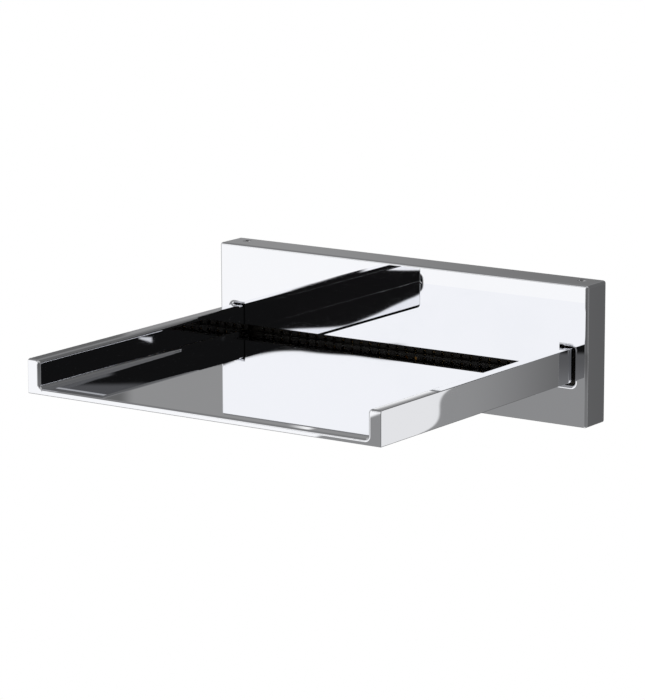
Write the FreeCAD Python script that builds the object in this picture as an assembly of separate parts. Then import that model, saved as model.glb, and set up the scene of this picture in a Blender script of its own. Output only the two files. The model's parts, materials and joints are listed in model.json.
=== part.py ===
"""Wall-mounted cascade bath spout, in mm. +Z up, wall plane at y = 0, front towards -Y."""
import os

import FreeCAD
import Part

# Cover: hollow shell that stands on the wall
COVER_WIDTH = 200.0
COVER_HEIGHT = 64.2
COVER_DEPTH = 15.5
COVER_FRONT = 3.0
COVER_SIDE = 2.5
COVER_EDGE_R = 1.2
CUT_GAP = 0.9
CUT_TOP_GAP = 0.35
CUT_LOW_GAP = 1.6
CUT_EDGE_R = 1.5
CUT_CORNER_EXTRA = 0.1
TONGUE_GAP = 0.3

# Tray: open U-channel with a rear flange
TRAY_MARGIN = 7.4
TRAY_REACH = 167.2
TRAY_HEIGHT = 15.4
TRAY_TOP = 3.45
TRAY_WALL = 6.4
TRAY_FLOOR = 2.55
TRAY_INNER_R = 1.6
TRAY_RIM_R = 1.8
TRAY_LIP_R = 1.2
TRAY_EDGE_R = 0.3
SLOT_HEIGHT = 3.85
FLANGE_THICK = 3.0
FLANGE_INSET = 8.2
FLANGE_OVERHANG = 0.9
FLANGE_CORNER_R = 3.0
FLANGE_GAP = 0.3

# Water chamber behind the flange
GASKET_THICK = 1.0
CHAMBER_BACK = 2.0
CHAMBER_RIM = 5.2
CHAMBER_RIM_SETBACK = 2.8
CHAMBER_LEDGE = 1.0
SPREADER_THICK = 1.0
SPREADER_GAP = 0.1
SPREADER_HOLE_R = 0.9
SPREADER_PITCH = 5.0
SPREADER_ROW_STEP = 2.6
CHAMBER_SCREW_R = 1.5
CHAMBER_SCREW_HEAD_R = 2.5
CHAMBER_SCREW_HEAD = 1.7
CHAMBER_SCREWS_PER_ROW = 5
CHAMBER_SCREW_INSET = 9.5

# Lugs that carry the body on the bracket
LUG_X = 30.0
LUG_RISE = 7.4
LUG_WIDTH = 10.5
BODY_SCREW_R = 2.0
BODY_HEAD_R = 3.4
BODY_HEAD = 2.2
BODY_WASHER_R = 3.6
BODY_WASHER = 0.6

# Inlet
BUSH_R = 13.0
BUSH_SPIGOT_R = 8.8
BUSH_LENGTH = 11.0
BUSH_THREAD_START = 1.0
THREAD_R = 10.4775
NIPPLE_BORE_R = 7.25
NIPPLE_LENGTH = 18.0
NIPPLE_FRONT = 9.0
NIPPLE_CHAMFER = 1.0
HEX_FLATS = 24.0
HEX_LENGTH = 6.0
HEX_FACE_R = 11.6
HEX_CHAMFER = 1.0
NIPPLE_WASHER = 1.5

# Bracket on the wall
BRACKET_THICK = 2.0
BRACKET_GAP = 0.6
BRACKET_HOLE_GAP = 1.0
TAB_WIDTH = 10.0
TAB_GAP = 1.5
TAB_BEND_R = 1.9
TAB_RELIEF = 1.2
STANDOFF_R = 3.6
STANDOFF_SHANK_R = 2.8
STANDOFF_RECESS = 0.3
GRUB_INSET = 8.8
GRUB_FROM_WALL = 5.7
GRUB_R = 2.0
GRUB_SOCKET_FLATS = 2.0
GRUB_SOCKET_DEPTH = 2.2
GRUB_SUNK = 0.5
PAD_GAP = 0.1

# Wall fixing
WALL_INSET_X = 24.5
WALL_INSET_Z = 4.1
WALL_SCREW_R = 2.25
WALL_NECK_R = 2.0
WALL_HOLE_GAP = 0.25
WALL_SCREW_LENGTH = 32.0
WALL_SCREW_TIP = 5.0
WALL_HEAD_R = 3.7
WALL_HEAD = 2.4
WALL_WASHER_R = 3.9
WALL_WASHER = 1.0

# Foam seal inside the cover's rear rim
SEAL_WIDTH = 2.4
SEAL_DEPTH = 3.0

# Fits
THREAD_GAP = 0.05
CLEAR = 0.2
RECESS_FLATS = 0.9
HEAD_EDGE_R = 0.9

# Levels along y, from the front to the wall
COVER_INSIDE_Y = COVER_FRONT - COVER_DEPTH
FLANGE_FRONT_Y = COVER_INSIDE_Y + FLANGE_GAP
FLANGE_BACK_Y = FLANGE_FRONT_Y + FLANGE_THICK
CHAMBER_FRONT_Y = FLANGE_BACK_Y + GASKET_THICK
CHAMBER_BACK_Y = -BRACKET_THICK
RIM_BACK_Y = CHAMBER_BACK_Y - CHAMBER_RIM_SETBACK
SPREADER_Y = CHAMBER_FRONT_Y + SPREADER_THICK
CAVITY_BACK_Y = CHAMBER_BACK_Y - CHAMBER_BACK
TRAY_BOTTOM = TRAY_TOP - TRAY_HEIGHT
FLOOR_TOP = TRAY_BOTTOM + TRAY_FLOOR
TRAY_HALF = COVER_WIDTH / 2 - TRAY_MARGIN
TRAY_INSIDE = TRAY_HALF - TRAY_WALL
COVER_INSIDE_X = COVER_WIDTH / 2 - COVER_SIDE
COVER_INSIDE_Z = COVER_HEIGHT / 2 - COVER_SIDE
BRACKET_HALF = COVER_INSIDE_X - SEAL_WIDTH - BRACKET_GAP
BRACKET_HALF_HEIGHT = COVER_INSIDE_Z - SEAL_WIDTH - BRACKET_GAP
FLANGE_HALF = TRAY_HALF + FLANGE_OVERHANG
FLANGE_HALF_HEIGHT = BRACKET_HALF_HEIGHT - FLANGE_INSET
CAVITY_HALF = FLANGE_HALF - CHAMBER_RIM
CAVITY_HALF_HEIGHT = FLANGE_HALF_HEIGHT - CHAMBER_RIM
TAB_INNER = BRACKET_HALF - TAB_WIDTH
GRUB_X = COVER_WIDTH / 2 - GRUB_INSET
LUG_Z = FLANGE_HALF_HEIGHT + LUG_RISE / 2
SCREW_ROW_Z = FLANGE_HALF_HEIGHT - CHAMBER_RIM / 2
HEX_START_Y = BUSH_LENGTH + NIPPLE_WASHER


def vec(x, y, z):
    return FreeCAD.Vector(x, y, z)


def box(x0, x1, y0, y1, z0, z1):
    return Part.makeBox(x1 - x0, y1 - y0, z1 - z0, vec(x0, y0, z0))


def rod_y(r, x, z, y0, y1):
    return Part.makeCylinder(r, y1 - y0, vec(x, y0, z), vec(0, 1, 0))


def rod_z(r, x, y, z0, z1):
    return Part.makeCylinder(r, z1 - z0, vec(x, y, z0), vec(0, 0, 1))


def cone_y(r0, r1, x, z, y0, y1):
    return Part.makeCone(r0, r1, y1 - y0, vec(x, y0, z), vec(0, 1, 0))


def ring_y(r_out, r_in, x, z, y0, y1):
    return rod_y(r_out, x, z, y0, y1).cut(rod_y(r_in, x, z, y0, y1))


def hexagon(flats):
    r = flats / 3 ** 0.5
    points = [vec(r, 0, 0)]
    for i in range(1, 7):
        turn = FreeCAD.Rotation(vec(0, 0, 1), 60 * i)
        points.append(turn.multVec(points[0]))
    return Part.Face(Part.makePolygon(points))


def hex_y(flats, x, z, y0, y1):
    face = hexagon(flats)
    face.rotate(vec(0, 0, 0), vec(1, 0, 0), -90)
    face.translate(vec(x, y0, z))
    return face.extrude(vec(0, y1 - y0, 0))


def hex_z(flats, x, y, z0, z1):
    face = hexagon(flats)
    face.translate(vec(x, y, z0))
    return face.extrude(vec(0, 0, z1 - z0))


def pan_head(r, x, z, under, top):
    """Screw head from its underside to its top, with the top's edge rounded."""
    head = rod_y(r, x, z, min(under, top), max(under, top))
    rim = [e for e in head.Edges if abs(e.BoundBox.YMin - top) + abs(e.BoundBox.YMax - top) < 1e-3]
    return head.makeFillet(HEAD_EDGE_R, rim)


def along(shape, axis):
    """Straight edges of a shape that run along one axis (0 = x, 1 = y, 2 = z)."""
    found = []
    for edge in shape.Edges:
        if edge.Curve.TypeId != "Part::GeomLine":
            continue
        d = edge.Vertexes[-1].Point - edge.Vertexes[0].Point
        if abs(tuple(d)[axis]) > 0.999 * d.Length:
            found.append(edge)
    return found


def rounded_plate(half_x, half_z, y0, y1, r):
    plate = box(-half_x, half_x, y0, y1, -half_z, half_z)
    return plate.makeFillet(r, along(plate, 1))


def four(x, z):
    return [(sx * x, sz * z) for sx in (-1, 1) for sz in (-1, 1)]


def group(solids):
    return Part.makeCompound(solids)


def cut_out():
    """Through opening of the cover, with room all round the tray's outside."""
    out = TRAY_HALF + CUT_GAP
    low = TRAY_BOTTOM - CUT_LOW_GAP
    block = box(-out, out, -COVER_DEPTH, COVER_INSIDE_Y, low, TRAY_TOP + CUT_TOP_GAP)
    return block.makeFillet(CUT_EDGE_R + CUT_CORNER_EXTRA, along(block, 1))


def tongue():
    """Part of the cover's front that reaches down between the tray's walls and leaves the slot open."""
    half = TRAY_INSIDE - TONGUE_GAP
    root = TRAY_TOP + CUT_TOP_GAP + CUT_EDGE_R
    return box(-half, half, -COVER_DEPTH, COVER_INSIDE_Y, FLOOR_TOP + SLOT_HEIGHT, root)


def cut_out_rim(body):
    """Edges of the opening in the cover's front face."""
    face = [f for f in body.Faces if f.CenterOfMass.y < -COVER_DEPTH + 1e-6][0]
    inner = [w for w in face.Wires if not w.isSame(face.OuterWire)]
    return inner[0].Edges


def cover_plate():
    half_x = COVER_WIDTH / 2
    half_z = COVER_HEIGHT / 2
    body = box(-half_x, half_x, -COVER_DEPTH, 0, -half_z, half_z)
    outer = [e for e in body.Edges if e.CenterOfMass.y < -1e-6]
    body = body.makeFillet(COVER_EDGE_R, outer)
    hollow = box(-COVER_INSIDE_X, COVER_INSIDE_X, COVER_INSIDE_Y, 0, -COVER_INSIDE_Z, COVER_INSIDE_Z)
    body = body.cut(hollow).cut(cut_out())
    body = body.makeFillet(CUT_EDGE_R, cut_out_rim(body)).fuse(tongue())
    seat = BRACKET_HALF_HEIGHT + PAD_GAP
    back = -SEAL_DEPTH - CLEAR
    for side in (-1, 1):
        x0, x1 = sorted((side * TAB_INNER, side * COVER_INSIDE_X))
        body = body.fuse(box(x0, x1, COVER_INSIDE_Y, back, seat, COVER_INSIDE_Z))
        body = body.fuse(box(x0, x1, COVER_INSIDE_Y, back, -COVER_INSIDE_Z, -seat))
        body = body.cut(rod_z(GRUB_R + THREAD_GAP, side * GRUB_X, -GRUB_FROM_WALL, seat, half_z))
    return body.removeSplitter()


def grub_screw(x):
    top = COVER_HEIGHT / 2 - GRUB_SUNK
    body = rod_z(GRUB_R, x, -GRUB_FROM_WALL, BRACKET_HALF_HEIGHT, top)
    return body.cut(hex_z(GRUB_SOCKET_FLATS, x, -GRUB_FROM_WALL, top - GRUB_SOCKET_DEPTH, top))


def cover_grub_screws():
    return group([grub_screw(-GRUB_X), grub_screw(GRUB_X)])


def wall_seal():
    frame = box(-COVER_INSIDE_X, COVER_INSIDE_X, -SEAL_DEPTH, 0, -COVER_INSIDE_Z, COVER_INSIDE_Z)
    x = COVER_INSIDE_X - SEAL_WIDTH
    z = COVER_INSIDE_Z - SEAL_WIDTH
    return frame.cut(box(-x, x, -SEAL_DEPTH, 0, -z, z))


def tray_space():
    """Space between the tray's walls, rounded where the floor meets them."""
    space = box(-TRAY_INSIDE, TRAY_INSIDE, -TRAY_REACH, FLANGE_FRONT_Y, FLOOR_TOP, TRAY_TOP)
    low = [e for e in along(space, 1) if e.CenterOfMass.z < FLOOR_TOP + 1e-6]
    return space.makeFillet(TRAY_INNER_R, low)


def rim_round(side):
    """What the rounding of a wall's inner top edge takes away."""
    x = side * (TRAY_INSIDE + TRAY_RIM_R)
    z = TRAY_TOP - TRAY_RIM_R
    x0, x1 = sorted((side * TRAY_INSIDE, x))
    corner = box(x0, x1, -TRAY_REACH, FLANGE_FRONT_Y, z, TRAY_TOP)
    return corner.cut(rod_y(TRAY_RIM_R, x, z, -TRAY_REACH, FLANGE_FRONT_Y))


def lip_edges(body):
    """Front edges of the floor, of the walls' inner sides and of the walls' tops."""
    front = [e for e in body.Edges if e.BoundBox.YMax < -TRAY_REACH + 1e-3]
    return [e for e in front if abs(e.CenterOfMass.x) < TRAY_HALF - 1e-6 and e.CenterOfMass.z > TRAY_BOTTOM + 1e-6]


def outer_edges(body):
    """Edges round the tray's outer sides and along the front of its underside."""
    ends_at_sides = [e for e in body.Edges if min(abs(v.X) for v in e.Vertexes) > TRAY_HALF - 1e-6]
    return [e for e in ends_at_sides if e.CenterOfMass.y < FLANGE_FRONT_Y - 1e-6]


def channel():
    """Open U-channel from its front end to the flange."""
    body = box(-TRAY_HALF, TRAY_HALF, -TRAY_REACH, FLANGE_FRONT_Y, TRAY_BOTTOM, TRAY_TOP)
    body = body.cut(tray_space()).cut(rim_round(-1)).cut(rim_round(1))
    body = body.makeFillet(TRAY_LIP_R, lip_edges(body))
    return body.makeFillet(TRAY_EDGE_R, outer_edges(body))


def spout_tray():
    flange = rounded_plate(FLANGE_HALF, FLANGE_HALF_HEIGHT, FLANGE_FRONT_Y, FLANGE_BACK_Y, FLANGE_CORNER_R)
    slot = box(-TRAY_INSIDE, TRAY_INSIDE, FLANGE_FRONT_Y, FLANGE_BACK_Y, FLOOR_TOP, FLOOR_TOP + SLOT_HEIGHT)
    flange = flange.cut(slot)
    for x, z in screw_places():
        flange = flange.cut(rod_y(CHAMBER_SCREW_R + THREAD_GAP, x, z, FLANGE_FRONT_Y, FLANGE_BACK_Y))
    return channel().fuse(flange).removeSplitter()


def screw_places():
    last = FLANGE_HALF - CHAMBER_SCREW_INSET
    gaps = CHAMBER_SCREWS_PER_ROW - 1
    row = [last * (2 * i / gaps - 1) for i in range(CHAMBER_SCREWS_PER_ROW)]
    return [(x, sz * SCREW_ROW_Z) for x in row for sz in (-1, 1)]


def chamber_gasket():
    y0 = FLANGE_BACK_Y
    y1 = CHAMBER_FRONT_Y
    sheet = rounded_plate(FLANGE_HALF, FLANGE_HALF_HEIGHT, y0, y1, FLANGE_CORNER_R)
    sheet = sheet.cut(rounded_plate(CAVITY_HALF, CAVITY_HALF_HEIGHT, y0, y1, TRAY_INNER_R))
    for x, z in screw_places():
        sheet = sheet.cut(rod_y(CHAMBER_SCREW_R + CLEAR, x, z, y0, y1))
    return sheet


def lug(x, side):
    z0, z1 = sorted((side * (FLANGE_HALF_HEIGHT - 1), side * (FLANGE_HALF_HEIGHT + LUG_RISE)))
    ear = box(x - LUG_WIDTH / 2, x + LUG_WIDTH / 2, CHAMBER_FRONT_Y, RIM_BACK_Y, z0, z1)
    tips = [e for e in along(ear, 1) if abs(e.CenterOfMass.z) > FLANGE_HALF_HEIGHT]
    return ear.makeFillet(LUG_WIDTH / 4, tips)


def water_chamber():
    rim = rounded_plate(FLANGE_HALF, FLANGE_HALF_HEIGHT, CHAMBER_FRONT_Y, RIM_BACK_Y, FLANGE_CORNER_R)
    dish = rounded_plate(CAVITY_HALF, CAVITY_HALF_HEIGHT, CHAMBER_FRONT_Y, CHAMBER_BACK_Y, FLANGE_CORNER_R)
    body = rim.fuse(dish)
    for x, z in four(LUG_X, 1):
        body = body.fuse(lug(x, z))
    ledge_x = CAVITY_HALF - CHAMBER_LEDGE
    ledge_z = CAVITY_HALF_HEIGHT - CHAMBER_LEDGE
    wide_x = CAVITY_HALF + CHAMBER_LEDGE
    wide_z = CAVITY_HALF_HEIGHT + CHAMBER_LEDGE
    body = body.cut(rounded_plate(ledge_x, ledge_z, SPREADER_Y, CAVITY_BACK_Y, TRAY_INNER_R))
    body = body.cut(rounded_plate(wide_x, wide_z, CHAMBER_FRONT_Y, SPREADER_Y, FLANGE_CORNER_R))
    body = body.cut(rod_y(BUSH_SPIGOT_R + THREAD_GAP, 0, 0, CAVITY_BACK_Y, CHAMBER_BACK_Y))
    for x, z in four(LUG_X, LUG_Z):
        body = body.cut(rod_y(BODY_SCREW_R + CLEAR, x, z, CHAMBER_FRONT_Y, RIM_BACK_Y))
    for x, z in screw_places():
        body = body.cut(rod_y(CHAMBER_SCREW_R + CLEAR, x, z, CHAMBER_FRONT_Y, RIM_BACK_Y))
    return body.removeSplitter()


def chamber_screw(x, z):
    shank = rod_y(CHAMBER_SCREW_R, x, z, FLANGE_FRONT_Y, RIM_BACK_Y)
    top = RIM_BACK_Y + CHAMBER_SCREW_HEAD
    head = pan_head(CHAMBER_SCREW_HEAD_R, x, z, RIM_BACK_Y, top)
    deep = CHAMBER_SCREW_HEAD / 2
    return shank.fuse(head).cut(cross(x, z, top - deep, top, CHAMBER_SCREW_HEAD_R))


def cross(x, z, y0, y1, r):
    """Cross recess of a screw head of radius r."""
    reach = 0.6 * r
    half = RECESS_FLATS / 2
    flat = box(x - reach, x + reach, y0, y1, z - half, z + half)
    return flat.fuse(box(x - half, x + half, y0, y1, z - reach, z + reach))


def chamber_screws():
    return group([chamber_screw(x, z) for x, z in screw_places()])


def spreader_plate():
    x = CAVITY_HALF + CHAMBER_LEDGE - SPREADER_GAP
    z = CAVITY_HALF_HEIGHT + CHAMBER_LEDGE - SPREADER_GAP
    sheet = rounded_plate(x, z, CHAMBER_FRONT_Y, SPREADER_Y, FLANGE_CORNER_R)
    count = int(2 * (CAVITY_HALF - CHAMBER_LEDGE - SPREADER_PITCH) / SPREADER_PITCH)
    mid = FLOOR_TOP + SLOT_HEIGHT / 2
    holes = []
    for i in range(count + 1):
        place = (i - count / 2) * SPREADER_PITCH
        for z in (mid - SPREADER_ROW_STEP / 2, mid + SPREADER_ROW_STEP / 2):
            holes.append(rod_y(SPREADER_HOLE_R, place, z, CHAMBER_FRONT_Y, SPREADER_Y))
    return sheet.cut(group(holes))


def inlet_bush():
    body = rod_y(BUSH_SPIGOT_R, 0, 0, CAVITY_BACK_Y, CHAMBER_BACK_Y)
    body = body.fuse(rod_y(BUSH_R, 0, 0, CHAMBER_BACK_Y, BUSH_LENGTH))
    body = body.cut(rod_y(NIPPLE_BORE_R, 0, 0, CAVITY_BACK_Y, BUSH_LENGTH))
    body = body.cut(rod_y(THREAD_R + THREAD_GAP, 0, 0, BUSH_THREAD_START, BUSH_LENGTH))
    return body.removeSplitter()


def chamfered_hex(y0, y1):
    """Spanner hexagon with its corners turned off at both ends."""
    corner = HEX_FLATS / 3 ** 0.5
    turned = cone_y(HEX_FACE_R, corner, 0, 0, y0, y0 + HEX_CHAMFER)
    turned = turned.fuse(rod_y(corner, 0, 0, y0 + HEX_CHAMFER, y1 - HEX_CHAMFER))
    turned = turned.fuse(cone_y(corner, HEX_FACE_R, 0, 0, y1 - HEX_CHAMFER, y1))
    return hex_y(HEX_FLATS, 0, 0, y0, y1).common(turned)


def inlet_nipple():
    hex_end = HEX_START_Y + HEX_LENGTH
    front = HEX_START_Y - NIPPLE_FRONT - NIPPLE_WASHER
    tail = hex_end + NIPPLE_LENGTH
    core = THREAD_R - NIPPLE_CHAMFER
    body = chamfered_hex(HEX_START_Y, hex_end)
    body = body.fuse(rod_y(THREAD_R, 0, 0, front + NIPPLE_CHAMFER, HEX_START_Y))
    body = body.fuse(cone_y(core, THREAD_R, 0, 0, front, front + NIPPLE_CHAMFER))
    body = body.fuse(rod_y(THREAD_R, 0, 0, hex_end, tail - NIPPLE_CHAMFER))
    body = body.fuse(cone_y(THREAD_R, core, 0, 0, tail - NIPPLE_CHAMFER, tail))
    return body.cut(rod_y(NIPPLE_BORE_R, 0, 0, front, tail)).removeSplitter()


def nipple_washer():
    return ring_y(HEX_FLATS / 2, THREAD_R + CLEAR, 0, 0, BUSH_LENGTH, HEX_START_Y)


def tab(side_x, side_z):
    """Ear bent forward from the bracket's top or bottom edge."""
    x0, x1 = sorted((side_x * TAB_INNER, side_x * BRACKET_HALF))
    z0, z1 = sorted((side_z * (BRACKET_HALF_HEIGHT - BRACKET_THICK), side_z * BRACKET_HALF_HEIGHT))
    return box(x0, x1, COVER_INSIDE_Y + TAB_GAP, -BRACKET_THICK, z0, z1)


def tab_relief(side_x, side_z):
    """Notch beside an ear that lets the sheet bend."""
    x0, x1 = sorted((side_x * (TAB_INNER - TAB_RELIEF), side_x * TAB_INNER))
    z0, z1 = sorted((side_z * (BRACKET_HALF_HEIGHT - 2 * BRACKET_THICK), side_z * BRACKET_HALF_HEIGHT))
    return box(x0, x1, -BRACKET_THICK, 0, z0, z1)


def wall_bracket():
    plate = box(-BRACKET_HALF, BRACKET_HALF, -BRACKET_THICK, 0, -BRACKET_HALF_HEIGHT, BRACKET_HALF_HEIGHT)
    for side_x, side_z in four(1, 1):
        plate = plate.fuse(tab(side_x, side_z)).cut(tab_relief(side_x, side_z))
    plate = plate.removeSplitter()
    bends = [e for e in along(plate, 0) if e.CenterOfMass.y > -1e-6 and abs(e.CenterOfMass.x) > TAB_INNER
             and abs(e.CenterOfMass.z) > BRACKET_HALF_HEIGHT - 1e-6]
    plate = plate.makeFillet(TAB_BEND_R, bends)
    plate = plate.cut(rod_y(BUSH_R + BRACKET_HOLE_GAP, 0, 0, -BRACKET_THICK, 0))
    for x, z in wall_places():
        plate = plate.cut(rod_y(WALL_SCREW_R + WALL_HOLE_GAP, x, z, -BRACKET_THICK, 0))
    for x, z in four(LUG_X, LUG_Z):
        plate = plate.cut(rod_y(STANDOFF_SHANK_R + THREAD_GAP, x, z, -BRACKET_THICK, 0))
    return plate


def standoff(x, z):
    body = rod_y(STANDOFF_R, x, z, RIM_BACK_Y, -BRACKET_THICK)
    body = body.fuse(rod_y(STANDOFF_SHANK_R, x, z, -BRACKET_THICK, -STANDOFF_RECESS))
    return body.cut(rod_y(BODY_SCREW_R + THREAD_GAP, x, z, RIM_BACK_Y, -STANDOFF_RECESS))


def bracket_standoffs():
    return group([standoff(x, z) for x, z in four(LUG_X, LUG_Z)])


def body_screw(x, z):
    under = CHAMBER_FRONT_Y - BODY_WASHER
    head = pan_head(BODY_HEAD_R, x, z, under, under - BODY_HEAD)
    shank = rod_y(BODY_SCREW_R, x, z, under, -2 * STANDOFF_RECESS)
    return head.fuse(shank).cut(cross(x, z, under - BODY_HEAD, under - BODY_HEAD / 2, BODY_HEAD_R))


def body_screws():
    return group([body_screw(x, z) for x, z in four(LUG_X, LUG_Z)])


def body_washers():
    y0 = CHAMBER_FRONT_Y - BODY_WASHER
    inner = BODY_SCREW_R + CLEAR
    return group([ring_y(BODY_WASHER_R, inner, x, z, y0, CHAMBER_FRONT_Y) for x, z in four(LUG_X, LUG_Z)])


def wall_screw(x, z):
    under = -BRACKET_THICK - WALL_WASHER
    shoulder = WALL_SCREW_LENGTH - WALL_SCREW_TIP
    head = pan_head(WALL_HEAD_R, x, z, under, under - WALL_HEAD)
    neck = rod_y(WALL_NECK_R, x, z, under, 0)
    shank = rod_y(WALL_SCREW_R, x, z, 0, shoulder)
    tip = cone_y(WALL_SCREW_R, WALL_SCREW_R / 10, x, z, shoulder, WALL_SCREW_LENGTH)
    body = head.fuse(neck).fuse(shank).fuse(tip)
    return body.cut(cross(x, z, under - WALL_HEAD, under - WALL_HEAD / 2, WALL_HEAD_R))


def wall_places():
    return four(BRACKET_HALF - WALL_INSET_X, BRACKET_HALF_HEIGHT - WALL_INSET_Z)


def wall_screws():
    return group([wall_screw(x, z) for x, z in wall_places()])


def wall_washers():
    y0 = -BRACKET_THICK - WALL_WASHER
    inner = WALL_NECK_R + CLEAR
    return group([ring_y(WALL_WASHER_R, inner, x, z, y0, -BRACKET_THICK) for x, z in wall_places()])


NODES = {
    "cover_plate": cover_plate,
    "cover_grub_screws": cover_grub_screws,
    "wall_seal": wall_seal,
    "spout_tray": spout_tray,
    "chamber_gasket": chamber_gasket,
    "water_chamber": water_chamber,
    "chamber_screws": chamber_screws,
    "spreader_plate": spreader_plate,
    "inlet_bush": inlet_bush,
    "inlet_nipple": inlet_nipple,
    "nipple_washer": nipple_washer,
    "wall_bracket": wall_bracket,
    "bracket_standoffs": bracket_standoffs,
    "body_screws": body_screws,
    "body_washers": body_washers,
    "wall_screws": wall_screws,
    "wall_washers": wall_washers,
}

os.makedirs("parts", exist_ok=True)
for name, build in NODES.items():
    build().exportStep("parts/" + name + ".step")
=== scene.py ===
"""Looks of a wall-mounted cascade bath spout, in metres. +Z up, wall plane at y = 0, front towards -Y."""
import json
import math

import bmesh
import bpy
from mathutils import Matrix, Vector


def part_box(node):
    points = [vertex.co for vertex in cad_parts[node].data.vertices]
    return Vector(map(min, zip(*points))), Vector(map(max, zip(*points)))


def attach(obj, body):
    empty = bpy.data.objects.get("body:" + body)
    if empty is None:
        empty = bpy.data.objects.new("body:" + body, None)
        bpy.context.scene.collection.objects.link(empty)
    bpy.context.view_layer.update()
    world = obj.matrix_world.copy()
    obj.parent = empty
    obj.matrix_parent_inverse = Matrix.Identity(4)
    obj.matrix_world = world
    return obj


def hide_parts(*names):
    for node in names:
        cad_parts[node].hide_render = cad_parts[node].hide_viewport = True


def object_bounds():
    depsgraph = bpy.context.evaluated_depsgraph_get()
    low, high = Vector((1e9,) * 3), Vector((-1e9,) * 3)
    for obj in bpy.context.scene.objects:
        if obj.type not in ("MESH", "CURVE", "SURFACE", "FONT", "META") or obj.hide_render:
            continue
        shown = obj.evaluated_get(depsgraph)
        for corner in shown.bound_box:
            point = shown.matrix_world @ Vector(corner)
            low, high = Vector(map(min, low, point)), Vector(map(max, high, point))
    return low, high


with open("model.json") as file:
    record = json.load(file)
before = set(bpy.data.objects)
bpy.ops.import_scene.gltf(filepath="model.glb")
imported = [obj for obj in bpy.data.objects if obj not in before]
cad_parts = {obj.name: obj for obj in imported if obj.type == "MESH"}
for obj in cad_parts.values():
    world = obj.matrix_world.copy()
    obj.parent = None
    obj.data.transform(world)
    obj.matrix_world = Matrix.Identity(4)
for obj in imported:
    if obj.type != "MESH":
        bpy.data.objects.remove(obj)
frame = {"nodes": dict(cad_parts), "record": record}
CAD_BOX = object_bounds()
MM = 0.001
MICRON = 1e-6

# Camera, fitted to the photograph's straight edges
VIEW_POINT = Vector((-52.3, 0.0, -16.8)) * MM
VIEW_AZIMUTH = 34.78
VIEW_ELEVATION = 11.70
VIEW_ROLL = -0.165
VIEW_DISTANCE = 1645.5 * MM
VIEW_LENS = 180.62
VIEW_SENSOR = 36.0

# Stage
FLOOR_DROP = 1.0
FLOOR_HALF = 0.45
FLOOR_FRONT = -0.5
FLOOR_SHADE = 0.04
FLOOR_COLOUR = (0.9, 0.9, 0.9, 1)
KEY_PLACE = Vector((-0.7, -1.0, 1.1))
KEY_SIZE = 0.9
KEY_POWER = 6.0
WHITE = (1, 1, 1, 1)
MATTE_LEVEL = 0.8
DARK_PANEL = 0.006

# Where finishes change: each pair is the start and the end of the change. The INSIDE pairs bound the cover's
# and the flange's inner faces, coloured near-black as painted shade.
INSIDE_FRONT = (-12.54 * MM, -12.50 * MM)
INSIDE_SIDES = (97.52 * MM, 97.60 * MM)
INSIDE_TOP = (29.62 * MM, 29.70 * MM)
TURNED_FROM = (-2.2 * MM, -1.9 * MM)

# Inlet nipple
PIPE_PITCH = 1.814 * MM
PIPE_THREAD_DEPTH = 1.162 * MM
PIPE_FLANK = 1.25
PIPE_CREST_FLAT = 0.12
PIPE_ROWS = 10
NIPPLE_BORE = 7.25 * MM
NIPPLE_HEX_FLATS = 24.0 * MM
NIPPLE_HEX_FACE = 11.6 * MM
NIPPLE_HEX_CHAMFER = 1.0 * MM
NIPPLE_HEX_LENGTH = 6.0 * MM
NIPPLE_HEX_STEP = 0.12 * MM
NIPPLE_END_CHAMFER = 1.0 * MM
NIPPLE_COLUMNS = 84
NIPPLE_SHARP = 28

# Wall screws
SCREW_R = 2.25 * MM
SCREW_CORE_R = 1.6 * MM
SCREW_NECK_R = 2.0 * MM
SCREW_PITCH = 2.1 * MM
SCREW_RIDGE = 2.4
SCREW_ROWS = 12
SCREW_THREAD_START = 0.02 * MM
SCREW_TIP = 5.0 * MM
SCREW_TIP_TAPER = 0.93
SCREW_HEAD_R = 3.7 * MM
SCREW_HEAD = 2.4 * MM
SCREW_HEAD_ROUND = 0.9 * MM
SCREW_RECESS = 1.3 * MM
CROSS_ARM = 0.2
CROSS_REACH_OUT = 0.75
CROSS_REACH_IN = 0.4
SCREW_COLUMNS = 36
SCREW_SHARP = 32

# Foam seal
SEAL_WIDTH = 2.4 * MM
SEAL_ROUND = 0.5 * MM
SEAL_SKIN = 0.12 * MM
SEAL_SKIN_SCALE = 900
SEAL_PATH_STEP = 0.9 * MM
SEAL_PROFILE_STEP = 0.4 * MM
SEAL_CORNER_POINTS = 5


class Value:
    """One output of a node. Arithmetic on it adds Math nodes to the same tree."""

    def __init__(self, tree, node, output=0):
        self.tree = tree
        self.node = node
        self.output = output

    @property
    def socket(self):
        return self.node.outputs[self.output]

    def out(self, output):
        return Value(self.tree, self.node, output)

    def maths(self, operation, *values):
        return add(self.tree, "ShaderNodeMath", {"operation": operation}, dict(enumerate(values)))

    def __add__(self, other):
        return self.maths("ADD", self, other)

    def __radd__(self, other):
        return self.maths("ADD", other, self)

    def __sub__(self, other):
        return self.maths("SUBTRACT", self, other)

    def __rsub__(self, other):
        return self.maths("SUBTRACT", other, self)

    def __mul__(self, other):
        return self.maths("MULTIPLY", self, other)

    def __rmul__(self, other):
        return self.maths("MULTIPLY", other, self)

    def __truediv__(self, other):
        return self.maths("DIVIDE", self, other)

    def __neg__(self):
        return self.maths("MULTIPLY", self, -1.0)

    def __abs__(self):
        return self.maths("ABSOLUTE", self)

    def __pow__(self, power):
        return self.maths("POWER", self, power)


def add(tree, kind, settings=None, sockets=None, output=0):
    """New node: its settings are set first, then the values or links of its sockets."""
    node = tree.nodes.new(kind)
    for name, setting in (settings or {}).items():
        setattr(node, name, setting)
    for name, value in (sockets or {}).items():
        if isinstance(value, Value):
            tree.links.new(value.socket, node.inputs[name])
        else:
            node.inputs[name].default_value = value
    return Value(tree, node, output)


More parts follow.
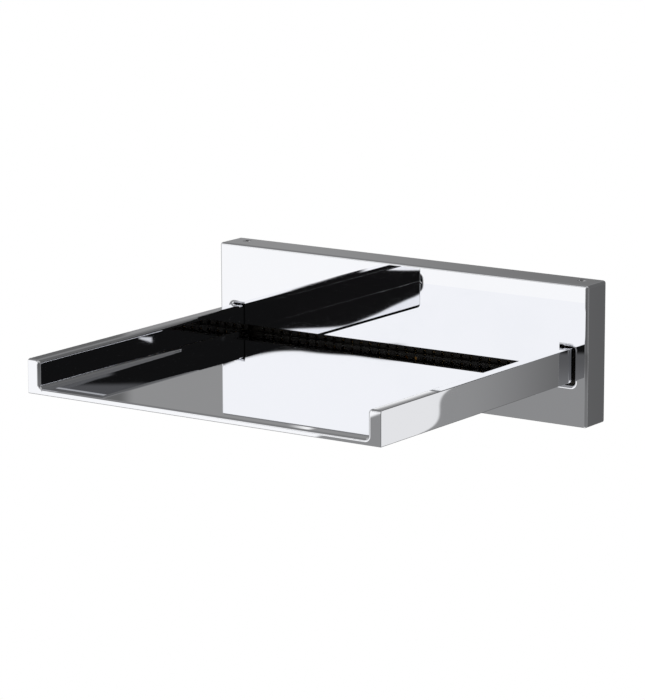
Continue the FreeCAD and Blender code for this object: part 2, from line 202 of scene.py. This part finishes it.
def rise(value, low, high):
    """0 below low, 1 above high, with a smooth rise between."""
    settings = {"interpolation_type": "SMOOTHSTEP", "clamp": True}
    sockets = {"Value": value, "From Min": low, "From Max": high, "To Min": 0.0, "To Max": 1.0}
    return add(value.tree, "ShaderNodeMapRange", settings, sockets)


def fall(value, low, high):
    """1 below low, 0 above high, with a smooth fall between."""
    return 1 - rise(value, low, high)


def at_least(value, low):
    return value.maths("MAXIMUM", value, low)


def at_most(value, high):
    return value.maths("MINIMUM", value, high)


def parts_of(vector):
    """The x, y and z of a vector."""
    split = add(vector.tree, "ShaderNodeSeparateXYZ", {}, {0: vector})
    return split.out(0), split.out(1), split.out(2)


def stretched(place, x, y, z):
    return add(place.tree, "ShaderNodeMapping", {}, {"Vector": place, "Scale": (x, y, z)})


def noise(place, scale, detail=2.0, rough=0.5):
    sockets = {"Vector": place, "Scale": scale, "Detail": detail, "Roughness": rough}
    return add(place.tree, "ShaderNodeTexNoise", {}, sockets)


def cells(place, scale):
    return add(place.tree, "ShaderNodeTexVoronoi", {}, {"Vector": place, "Scale": scale})


def blend(share, first, second):
    """Colour between two colours, by a share from 0 to 1."""
    sockets = {0: share, 6: first, 7: second}
    return add(share.tree, "ShaderNodeMix", {"data_type": "RGBA"}, sockets, 2)


def bump(height):
    """Normal from a height in metres."""
    sockets = {"Strength": 1.0, "Distance": 1.0, "Height": height}
    return add(height.tree, "ShaderNodeBump", {}, sockets)


def empty_tree(owner):
    """Node tree of a material or a world, with nothing in it."""
    owner.use_nodes = True
    owner.node_tree.nodes.clear()
    return owner.node_tree


def finish(name, paint):
    """Material whose Principled sockets are what paint gives for the object's own coordinates."""
    material = bpy.data.materials.new(name)
    tree = empty_tree(material)
    place = add(tree, "ShaderNodeTexCoord").out("Object")
    shader = add(tree, "ShaderNodeBsdfPrincipled", {}, paint(place))
    add(tree, "ShaderNodeOutputMaterial", {}, {"Surface": shader})
    return material


def polished_chrome(place):
    """Bright plating. Where the cover and the flange face their inner hollow, it is rough and bumpy like a
    dull cast skin, and its colour is darkened to near-black as painted shade.
    """
    x, y, z = parts_of(place)
    # painted shade: this mask marks the cover's and the flange's inner faces, whose near-black colour stands
    # in for the shade there
    painted_shade_inside = rise(y, *INSIDE_FRONT) * fall(abs(x), *INSIDE_SIDES) * fall(abs(z), *INSIDE_TOP)
    lengthwise = noise(stretched(place, 25, 25, 2600), 1.0, 1.0)
    across = noise(stretched(place, 2600, 25, 25), 1.0, 1.0)
    hairlines = rise(lengthwise * across, 0.36, 0.44)
    film = rise(noise(place, 22, 4.0, 0.6), 0.5, 0.75)
    cast = noise(place, 420, 4.0, 0.6)
    tint = blend(film, (0.925, 0.933, 0.962, 1), (0.91, 0.92, 0.95, 1))
    swell = noise(place, 24, 1.0) * (4 * MICRON)
    return {
        # painted shade: the near-black colours, mottled by the cast noise, are shade painted on the inner
        # faces
        "Base Color": blend(painted_shade_inside, tint, blend(cast, (0.03, 0.028, 0.025, 1), (0.075, 0.07, 0.062, 1))),
        "Metallic": 1.0,
        "Roughness": 0.006 + 0.008 * hairlines + 0.004 * film + painted_shade_inside * (0.4 + 0.2 * cast),
        "Normal": bump(swell + painted_shade_inside * cast * (40 * MICRON)),
    }


def raw_brass(place):
    """Brass with brown oxide: cast in front of the wall, turned where it enters the wall."""
    y = parts_of(place)[1]
    tarnish = rise(noise(place, 90, 5.0, 0.62), 0.42, 0.72)
    grain = noise(place, 1500, 3.0)
    rings = noise(stretched(place, 1, 4200, 1), 1.0, 1.0)
    cast = fall(y, *TURNED_FROM)
    cut_marks = rings * (1 - cast)
    return {
        "Base Color": blend(tarnish, (0.73, 0.53, 0.25, 1), (0.47, 0.31, 0.13, 1)),
        "Metallic": 1.0,
        "Roughness": 0.24 + 0.16 * tarnish + 0.08 * grain,
        "Normal": bump(grain * cast * (25 * MICRON) + cut_marks * (4 * MICRON)),
    }


def rolled_stainless(place):
    """Sheet and screws: rolling lines along x, faint stains and a few handling scratches."""
    lines = noise(stretched(place, 14, 1900, 1900), 1.0, 2.0)
    stain = noise(place, 55, 4.0, 0.55)
    scratch = rise(noise(stretched(place, 900, 900, 26), 1.0, 1.0), 0.68, 0.74)
    return {
        "Base Color": blend(stain, (0.57, 0.565, 0.55, 1), (0.68, 0.68, 0.675, 1)),
        "Metallic": 1.0,
        "Roughness": 0.22 + 0.14 * lines + 0.1 * stain + 0.12 * scratch,
        "Normal": bump(lines * (3 * MICRON) - scratch * (4 * MICRON)),
    }


def black_rubber(place):
    """Gasket sheet with a fine grain and pale dust."""
    dust = rise(noise(place, 160, 5.0, 0.65), 0.5, 0.8)
    grain = noise(place, 5200, 2.0)
    return {
        "Base Color": blend(dust, (0.016, 0.016, 0.017, 1), (0.045, 0.044, 0.042, 1)),
        "Roughness": 0.62 + 0.18 * dust,
        "Normal": bump(grain * (22 * MICRON)),
    }


def grey_foam(place):
    """Open foam, coloured darker towards each pore's centre as painted shade in the pores."""
    pore = cells(place, 2300)
    shade = noise(place, 300, 3.0)
    # painted shade: wall is 0 at the pore centres, where the colour goes dark to stand in for the shade in
    # the pores
    wall = rise(pore, 0.15, 0.6)
    return {
        "Base Color": blend(wall * 0.7 + shade * 0.3, (0.10, 0.105, 0.11, 1), (0.27, 0.275, 0.28, 1)),
        "Roughness": 0.85 + 0.1 * shade,
        "Normal": bump(pore * (90 * MICRON)),
    }


def red_fibre(place):
    """Pressed fibre with long strands and blotches."""
    strands = noise(stretched(place, 2400, 500, 700), 1.0, 4.0)
    blotch = noise(place, 210, 3.0)
    return {
        "Base Color": blend(strands * 0.6 + blotch * 0.4, (0.17, 0.035, 0.02, 1), (0.38, 0.10, 0.06, 1)),
        "Roughness": 0.55 + 0.2 * strands,
        "Normal": bump(strands * (20 * MICRON)),
    }


def moulded_black(place):
    """Black acetal with a fine moulded grain and pale rub marks."""
    grain = noise(place, 3800, 2.0)
    rub = rise(noise(place, 130, 4.0, 0.6), 0.52, 0.8)
    return {
        "Base Color": blend(rub, (0.018, 0.016, 0.013, 1), (0.036, 0.032, 0.027, 1)),
        "Specular IOR Level": 0.2,
        "Roughness": 0.42 + 0.18 * rub + 0.08 * grain,
        "Normal": bump(grain * (6 * MICRON)),
    }


FINISHES = {
    "chrome_plate": finish("polished_chrome", polished_chrome),
    "raw_brass": finish("raw_brass", raw_brass),
    "stainless": finish("rolled_stainless", rolled_stainless),
    "gasket_rubber": finish("black_rubber", black_rubber),
    "seal_foam": finish("grey_foam", grey_foam),
    "fibre": finish("red_fibre", red_fibre),
    "black_plastic": finish("moulded_black", moulded_black),
}


def finish_nodes():
    """Each carried-over piece takes the finish of the slot that its plain material is named for."""
    for node in frame["nodes"].values():
        for slot in node.material_slots:
            slot.material = FINISHES[slot.material.name]


def placed(name, data):
    """New object in the scene."""
    thing = bpy.data.objects.new(name, data)
    bpy.context.scene.collection.objects.link(thing)
    return thing


def piece(name, mesh, slot):
    """New object at the origin with a slot's finish."""
    mesh.materials.clear()
    mesh.materials.append(FINISHES[slot])
    return placed(name, mesh)


def frozen(thing):
    """Makes a piece's modifiers part of its plain mesh."""
    graph = bpy.context.evaluated_depsgraph_get()
    mesh = bpy.data.meshes.new_from_object(thing.evaluated_get(graph))
    thing.modifiers.clear()
    thing.data = mesh
    return thing


def shaded(mesh, sharp_above):
    """Smooth shading, broken at edges sharper than an angle in degrees."""
    mesh.shade_smooth()
    mesh.set_sharp_from_angle(angle=math.radians(sharp_above))
    return mesh


def as_mesh(name, shape):
    """Mesh of a closed shape, with its faces outwards."""
    bmesh.ops.recalc_face_normals(shape, faces=shape.faces)
    mesh = bpy.data.meshes.new(name)
    shape.to_mesh(mesh)
    shape.free()
    return mesh


def turned(name, rows, columns, hollow):
    """Turned mesh about the y axis. Each row is a y and a radius, or a radius that follows the angle."""
    shape = bmesh.new()
    rings = []
    for y, radius in rows:
        ring = []
        for i in range(columns):
            angle = 2 * math.pi * i / columns
            r = radius(angle) if callable(radius) else radius
            ring.append(shape.verts.new((r * math.cos(angle), y, r * math.sin(angle))))
        rings.append(ring)
    after = rings[1:] + rings[:1] if hollow else rings[1:]
    for low, high in zip(rings, after):
        for i in range(columns):
            j = (i + 1) % columns
            shape.faces.new((low[i], low[j], high[j], high[i]))
    if not hollow:
        shape.faces.new(rings[0])
        shape.faces.new(rings[-1])
    return as_mesh(name, shape)


def steps(start, end, size):
    """Even levels from start to end, about a size apart."""
    count = math.ceil(abs(end - start) / size)
    return [start + (end - start) * i / count for i in range(count + 1)]


def clamp(value, low=0.0, high=1.0):
    return max(low, min(high, value))


def pipe_thread(y, crest, start, end):
    """Radius of a 55 degree pipe thread at a level y, with the end nearest `end` chamfered."""
    run_in = clamp(abs(y - start) / PIPE_PITCH)
    chamfer = crest - NIPPLE_END_CHAMFER + abs(end - y)

    def radius(angle):
        phase = (y / PIPE_PITCH - angle / (2 * math.pi)) % 1.0
        groove = clamp(PIPE_FLANK * abs(2 * phase - 1) - PIPE_CREST_FLAT)
        return min(crest - PIPE_THREAD_DEPTH * groove * run_in, chamfer)

    return radius


def hex_flank(y, low, high):
    """Radius of the spanner hexagon at a level y, with its corners turned off at both ends."""
    corner = NIPPLE_HEX_FLATS / math.sqrt(3)
    inset = min(y - low, high - y)
    cone = NIPPLE_HEX_FACE + (corner - NIPPLE_HEX_FACE) * inset / NIPPLE_HEX_CHAMFER

    def radius(angle):
        from_flat = (angle % (math.pi / 3)) - math.pi / 6
        return min(NIPPLE_HEX_FLATS / 2 / math.cos(from_flat), cone)

    return radius


def inlet_nipple():
    """Brass nipple with real pipe threads on both ends."""
    low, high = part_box("inlet_nipple")
    mount = [m for m in frame["record"]["mounts"] if m["name"] == "inlet_thread"][0]
    crest = mount["dims"]["r_mm"] * MM
    hex_low = high.y - mount["dims"]["length_mm"] * MM - NIPPLE_END_CHAMFER - NIPPLE_HEX_LENGTH
    hex_high = hex_low + NIPPLE_HEX_LENGTH
    fine = PIPE_PITCH / PIPE_ROWS
    rows = [(low.y, NIPPLE_BORE)]
    rows += [(y, pipe_thread(y, crest, hex_low, low.y)) for y in steps(low.y, hex_low, fine)]
    hex_levels = steps(hex_low, hex_low + NIPPLE_HEX_CHAMFER, NIPPLE_HEX_STEP)
    hex_levels += steps(hex_high - NIPPLE_HEX_CHAMFER, hex_high, NIPPLE_HEX_STEP)
    rows += [(y, hex_flank(y, hex_low, hex_high)) for y in hex_levels]
    rows += [(y, pipe_thread(y, crest, hex_high, high.y)) for y in steps(hex_high, high.y, fine)]
    rows += [(high.y, NIPPLE_BORE)]
    mesh = shaded(turned("inlet_nipple_threaded", rows, NIPPLE_COLUMNS, True), NIPPLE_SHARP)
    nipple = piece("inlet_nipple_threaded", mesh, "raw_brass")
    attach(nipple, "wall_body")
    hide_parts("inlet_nipple")


def wood_thread(y, shoulder, end):
    """Radius of a sharp coarse thread at a level y, which tapers to the point."""
    taper = 1 - clamp((y - shoulder) / (end - shoulder)) * SCREW_TIP_TAPER
    run_in = clamp(y / SCREW_PITCH)

    def radius(angle):
        phase = (y / SCREW_PITCH - angle / (2 * math.pi)) % 1.0
        ridge = clamp(1 - SCREW_RIDGE * abs(2 * phase - 1))
        return (SCREW_CORE_R + (SCREW_R - SCREW_CORE_R) * ridge * run_in) * taper

    return radius


def cross_cutter(top):
    """Tapered cross that sinks into a screw head from its top."""
    arm = CROSS_ARM
    outline = [(1, arm), (arm, arm), (arm, 1), (-arm, 1), (-arm, arm), (-1, arm)]
    outline += [(-x, -z) for x, z in outline]
    shape = bmesh.new()
    rings = []
    for y, reach in ((top - SCREW_RECESS, CROSS_REACH_OUT), (top + SCREW_RECESS, CROSS_REACH_IN)):
        size = reach * SCREW_HEAD_R
        rings.append([shape.verts.new((x * size, y, z * size)) for x, z in outline])
    for i in range(len(outline)):
        j = (i + 1) % len(outline)
        shape.faces.new((rings[0][i], rings[0][j], rings[1][j], rings[1][i]))
    shape.faces.new(rings[0])
    shape.faces.new(rings[1])
    return as_mesh("cross_cutter", shape)


def one_wall_screw():
    """Pan-head screw on the y axis, with its threads and cross recess."""
    low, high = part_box("wall_screws")
    shoulder = high.y - SCREW_TIP
    under = low.y + SCREW_HEAD
    arc = [math.radians(a) for a in range(0, 91, 10)]
    flat = SCREW_HEAD_R - SCREW_HEAD_ROUND
    rows = [(low.y + SCREW_HEAD_ROUND * (1 - math.sin(a)), flat + SCREW_HEAD_ROUND * math.cos(a))
            for a in reversed(arc)]
    rows += [(under, SCREW_HEAD_R), (under, SCREW_NECK_R), (0.0, SCREW_NECK_R)]
    levels = steps(SCREW_THREAD_START, high.y, SCREW_PITCH / SCREW_ROWS)
    rows += [(y, wood_thread(y, shoulder, high.y)) for y in levels]
    screw = placed("wall_screw_form", turned("wall_screw_form", rows, SCREW_COLUMNS, False))
    cutter = placed("cross_cutter", cross_cutter(low.y))
    recess = screw.modifiers.new("recess", "BOOLEAN")
    recess.object = cutter
    recess.solver = "EXACT"
    frozen(screw)
    bpy.data.objects.remove(cutter)
    shaded(screw.data, SCREW_SHARP)
    return screw


def new_tree(name, inputs):
    """Geometry tree with named inputs, and its input node."""
    tree = bpy.data.node_groups.new(name, "GeometryNodeTree")
    tree.interface.new_socket("Geometry", in_out="INPUT", socket_type="NodeSocketGeometry")
    for label, kind in inputs.items():
        tree.interface.new_socket(label, in_out="INPUT", socket_type=kind)
    tree.interface.new_socket("Geometry", in_out="OUTPUT", socket_type="NodeSocketGeometry")
    return tree, add(tree, "NodeGroupInput")


def close_tree(shape, coat):
    """Ends a tree with plain geometry in one material."""
    real = add(shape.tree, "GeometryNodeRealizeInstances", {}, {"Geometry": shape})
    painted = add(shape.tree, "GeometryNodeSetMaterial", {}, {"Geometry": real, "Material": coat})
    add(shape.tree, "NodeGroupOutput", {}, {0: painted})


def grown(thing, tree, values):
    """Runs a tree on a piece with its inputs set, and keeps the plain mesh."""
    modifier = thing.modifiers.new(tree.name, "NODES")
    modifier.node_group = tree
    for socket in tree.interface.items_tree:
        if socket.in_out == "INPUT" and socket.name in values:
            modifier[socket.identifier] = values[socket.name]
    return frozen(thing)


def screws_on_points():
    """Tree that sets one screw on every point."""
    tree, given = new_tree("screws_on_points", {"Screw": "NodeSocketObject", "Finish": "NodeSocketMaterial"})
    settings = {"transform_space": "ORIGINAL"}
    form = add(tree, "GeometryNodeObjectInfo", settings, {"Object": given.out("Screw")})
    sockets = {"Points": given.out("Geometry"), "Instance": form.out("Geometry")}
    close_tree(add(tree, "GeometryNodeInstanceOnPoints", {}, sockets), given.out("Finish"))
    return tree


def wall_screws():
    """Four threaded screws, in the corners of the plain screws' box."""
    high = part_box("wall_screws")[1]
    x = high.x - SCREW_HEAD_R
    z = high.z - SCREW_HEAD_R
    form = one_wall_screw()
    mesh = bpy.data.meshes.new("wall_screws_threaded")
    mesh.from_pydata([(sx * x, 0, sz * z) for sx in (-1, 1) for sz in (-1, 1)], [], [])
    screws = piece("wall_screws_threaded", mesh, "stainless")
    grown(screws, screws_on_points(), {"Screw": form, "Finish": FINISHES["stainless"]})
    bpy.data.objects.remove(form)
    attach(screws, "wall_body")
    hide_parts("wall_screws")


def foam_strip():
    """Tree that runs a rounded foam strip round a rectangle in the xz plane, with an uneven skin."""
    sizes = ("Width", "Height", "Strip Width", "Strip Depth", "Rounding", "Skin")
    inputs = {label: "NodeSocketFloat" for label in sizes}
    tree, given = new_tree("foam_strip", {**inputs, "Finish": "NodeSocketMaterial"})

    def rounded_loop(width, height, radius, spacing):
        loop = add(tree, "GeometryNodeCurvePrimitiveQuadrilateral", {}, {"Width": width, "Height": height})
        sockets = {"Curve": loop, "Count": SEAL_CORNER_POINTS, "Radius": radius}
        loop = add(tree, "GeometryNodeFilletCurve", {"mode": "POLY"}, sockets)
        sockets = {"Curve": loop, "Length": spacing}
        return add(tree, "GeometryNodeResampleCurve", {"mode": "LENGTH"}, sockets)

    rounding = given.out("Rounding")
    path = rounded_loop(given.out("Width"), given.out("Height"), rounding, SEAL_PATH_STEP)
    profile = rounded_loop(given.out("Strip Width"), given.out("Strip Depth"), rounding, SEAL_PROFILE_STEP)
    sockets = {"Curve": path, "Profile Curve": profile, "Fill Caps": False}
    strip = add(tree, "GeometryNodeCurveToMesh", {}, sockets)
    place = add(tree, "GeometryNodeInputPosition")
    outward = add(tree, "GeometryNodeInputNormal")
    dent = noise(place, SEAL_SKIN_SCALE, 2.0) * given.out("Skin")
    inward = add(tree, "ShaderNodeVectorMath", {"operation": "SCALE"}, {0: outward, "Scale": -dent})
    strip = add(tree, "GeometryNodeSetPosition", {}, {"Geometry": strip, "Offset": inward})
    upright = {"Geometry": strip, "Rotation": (math.radians(90), 0, 0)}
    strip = add(tree, "GeometryNodeTransform", {}, upright)
    close_tree(strip, given.out("Finish"))
    return tree


def wall_seal():
    """Foam strip between the cover's rim and the wall."""
    low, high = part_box("wall_seal")
    size = high - low
    seal = piece("wall_seal_foam", bpy.data.meshes.new("wall_seal_foam"), "seal_foam")
    values = {
        "Width": size.x - SEAL_WIDTH,
        "Height": size.z - SEAL_WIDTH,
        "Strip Width": SEAL_WIDTH,
        "Strip Depth": size.y,
        "Rounding": SEAL_ROUND,
        "Skin": SEAL_SKIN,
        "Finish": FINISHES["seal_foam"],
    }
    grown(seal, foam_strip(), values)
    seal.data.transform(Matrix.Translation((low + high) / 2))
    seal.data.shade_smooth()
    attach(seal, "cover")
    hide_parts("wall_seal")


def lay(under, level, mask):
    """Puts a panel of one level over what is under it."""
    return under + (level - under) * mask


def window(value, low, high, soft):
    """1 between low and high and 0 outside, with soft edges."""
    return rise(value, low - soft, low + soft) * fall(value, high - soft, high + soft)


def left_panels(light, azimuth, elevation):
    """Behind on the left, for the rims and the cover's top: a grey wall, a dark panel and a bright one."""
    wall = rise(elevation, 0, 4) * fall(elevation, 16, 26) * fall(azimuth, -142.1, -141.8)
    light = lay(light, 0.18 + 0.1 * rise(azimuth, -150, -144.5), wall)
    dark = rise(elevation, 11.72, 11.76) * fall(elevation - 0.16 * azimuth, 34.86, 34.92)
    light = lay(light, DARK_PANEL, dark * window(azimuth, -146, -141.5, 0.3))
    bright = rise(elevation, 11.8, 12) * fall(elevation - 0.297 * azimuth, 56.03, 56.09)
    return lay(light, 0.97, bright * window(azimuth, -150, -144.8, 0.2))


def low_right_panels(light, azimuth, elevation):
    """Low behind on the right, for the right sides: grey, with a pale panel that ends in a bent edge."""
    low = fall(elevation, -7, -5) * rise(azimuth, 122, 128)
    light = lay(light, 0.277 - 0.167 * rise(azimuth, 147.4, 149.9), low)
    bend = at_most(at_least(elevation + 12.66, -0.4), 0.33)
    edge = azimuth - 5 * bend * bend * bend
    light = lay(light, 0.82, low * rise(azimuth, 140, 142) * fall(edge, 147.14, 147.2))
    dim = window(azimuth, 128, 150, 6) * rise(elevation, -4, 0) * fall(elevation, 10, 24)
    return lay(light, 0.1, dim)


def front_panels(light, azimuth, elevation):
    """In front, for the cover and the tray's floor: white over a grey table, with a dark bar and board."""
    front = window(azimuth, -118, -6, 3)
    light = lay(light, 0.5 + 0.5 * rise(azimuth, -80, -42), front * fall(elevation, 35, 40))
    table_edge = elevation - 0.36 * azimuth
    light = lay(light, 0.27, front * fall(table_edge, -0.59, -0.53))
    bar = rise(elevation + 0.3 * azimuth, 0.125, 0.155) * fall(elevation, 10.95, 11.05)
    light = lay(light, DARK_PANEL, bar * window(azimuth, -35.8, -34.1, 0.1))
    bar_end = (abs(azimuth + 33.39) / 0.285) ** 3 + (abs(abs(elevation) - 10.6) / 0.197) ** 3
    light = lay(light, DARK_PANEL, fall(bar_end, 0.9, 1.1))
    left_curve = at_least(-35.3 - azimuth, 0.0)
    right_slope = at_least(azimuth + 35.15, 0.0)
    board_edge = elevation - 0.17 * left_curve * left_curve - 0.1 * right_slope
    board = rise(elevation, 11.58, 11.62) * fall(board_edge, 11.695, 11.745)
    return lay(light, DARK_PANEL, board * window(azimuth, -37, -33.5, 0.2))


def right_panels(light, azimuth, elevation, ahead):
    """On the right, for the tray's left wall: dim, black round the camera and in a hoop above it."""
    right = window(azimuth, -3, 124, 3)
    light = lay(light, 0.14 + 0.3 * rise(elevation, 5, 40) + 0.5 * fall(azimuth, -6, 25), right)
    light = lay(light, 0.15, right * fall(elevation, -9, -8))
    hoop = rise(ahead, 0.765, 0.772) * fall(ahead, 0.824, 0.83) * rise(elevation, 13, 13.6)
    light = lay(light, DARK_PANEL, hoop)
    light = lay(light, DARK_PANEL, window(azimuth, 26, 42, 2) * fall(elevation, 12, 20))
    strip = rise(elevation, -10.41, -10.38) * fall(elevation, -9.2, -8.8)
    light = lay(light, 0.97, strip * window(azimuth, 32, 34.8, 0.3))
    ground = 0.18 - 0.08 * rise(elevation, -12.4, -11.8)
    return lay(light, ground, right * fall(elevation, -11.78, -11.7))


def camera_panels(light, azimuth, elevation):
    """Small panels close round the camera, for what the wall, the floor and the cover mirror in turn."""
    beside = 34.42 - azimuth
    slope = beside + (beside * beside + 0.055) ** 0.5
    shoulder = rise(elevation + 0.225 * slope, 11.335, 11.375)
    shoulder = shoulder * window(azimuth, 31.5, 35.35, 0.2) * fall(elevation, 11.5, 11.6)
    light = lay(light, 0.95, shoulder)
    above = rise(elevation, 12.19, 12.26) * fall(elevation, 13, 14) * window(azimuth, 37.5, 45, 0.3)
    light = lay(light, 0.085, above)
    tilted = elevation - 0.27 * azimuth
    beam = rise(tilted, 1.675, 1.69) * fall(tilted, 1.735, 1.75) * window(azimuth, 38.3, 39.4, 0.1)
    light = lay(light, 0.11, beam)
    spot = window(azimuth, 37.62, 37.83, 0.02) * rise(elevation, 11.46, 11.485)
    spot = spot * fall(elevation + 0.31 * azimuth, 23.21, 23.235)
    return lay(light, 0.7, spot)


def studio_light(way):
    """Brightness of the studio by direction: panels by their angles in degrees, as shares of white."""
    x, y, z = parts_of(way)
    ahead = -y
    azimuth = x.maths("ARCTAN2", x, ahead) * math.degrees(1)
    elevation = z.maths("ARCSINE", z) * math.degrees(1)
    light = 0.13 + (0.08 - 0.09 * rise(azimuth, 130, 145)) * rise(elevation, 10, 30)
    light = left_panels(light, azimuth, elevation)
    light = low_right_panels(light, azimuth, elevation)
    light = front_panels(light, azimuth, elevation)
    light = right_panels(light, azimuth, elevation, ahead)
    return camera_panels(light, azimuth, elevation)


def studio_world():
    """White behind the object, a plain level for matte surfaces, and the studio for glossy ones."""
    world = bpy.data.worlds.new("studio")
    bpy.context.scene.world = world
    tree = empty_tree(world)
    path = add(tree, "ShaderNodeLightPath")
    seen = path.out("Is Camera Ray")
    glossy = path.out("Is Glossy Ray")
    way = add(tree, "ShaderNodeTexCoord").out("Generated")
    level = lay(lay(MATTE_LEVEL, studio_light(way), glossy), 1.0, seen)
    back = add(tree, "ShaderNodeBackground", {}, {"Color": WHITE, "Strength": level})
    add(tree, "ShaderNodeOutputWorld", {}, {"Surface": back})


def floor_material():
    """Pale matte floor that looks white, with a trace of the object's shadow."""
    material = bpy.data.materials.new("pale_floor")
    tree = empty_tree(material)
    path = add(tree, "ShaderNodeLightPath")
    seen = path.out("Is Camera Ray") + path.out("Is Glossy Ray") + path.out("Is Transmission Ray")
    matte = add(tree, "ShaderNodeBsdfDiffuse", {}, {"Color": FLOOR_COLOUR})
    white = add(tree, "ShaderNodeEmission", {}, {"Color": WHITE, "Strength": 1.0})
    mixed = add(tree, "ShaderNodeMixShader", {}, {0: seen * (1 - FLOOR_SHADE), 1: matte, 2: white})
    add(tree, "ShaderNodeOutputMaterial", {}, {"Surface": mixed})
    return material


def pale_floor():
    """Floor in front of the wall plane."""
    z = CAD_BOX[0].z - FLOOR_DROP
    corners = [(-FLOOR_HALF, FLOOR_FRONT), (FLOOR_HALF, FLOOR_FRONT), (FLOOR_HALF, 0), (-FLOOR_HALF, 0)]
    mesh = bpy.data.meshes.new("pale_floor")
    mesh.from_pydata([(x, y, z) for x, y in corners], [], [(0, 1, 2, 3)])
    mesh.materials.append(floor_material())
    placed("pale_floor", mesh)


def key_light():
    """One large soft lamp from the upper left, kept out of the mirror finish."""
    lamp = bpy.data.lights.new("key_light", "AREA")
    lamp.shape = "SQUARE"
    lamp.size = KEY_SIZE
    lamp.energy = KEY_POWER
    key = placed("key_light", lamp)
    key.location = KEY_PLACE
    key.rotation_euler = (-KEY_PLACE).to_track_quat("-Z", "Y").to_euler()
    key.visible_glossy = False
    key.visible_camera = False


def camera():
    """Camera at the photograph's viewing angle."""
    azimuth = math.radians(VIEW_AZIMUTH)
    elevation = math.radians(VIEW_ELEVATION)
    level = math.cos(elevation)
    back = Vector((math.sin(azimuth) * level, -math.cos(azimuth) * level, math.sin(elevation)))
    data = bpy.data.cameras.new("camera")
    data.lens = VIEW_LENS
    data.sensor_width = VIEW_SENSOR
    viewer = placed("camera", data)
    aim = (-back).to_track_quat("-Z", "Y").to_matrix()
    turn = Matrix.Rotation(math.radians(VIEW_ROLL), 3, "Z")
    viewer.matrix_world = Matrix.Translation(VIEW_POINT + back * VIEW_DISTANCE) @ (aim @ turn).to_4x4()
    bpy.context.scene.camera = viewer


finish_nodes()
inlet_nipple()
wall_screws()
wall_seal()
studio_world()
pale_floor()
key_light()
camera()
bpy.context.scene.view_settings.view_transform = "Standard"
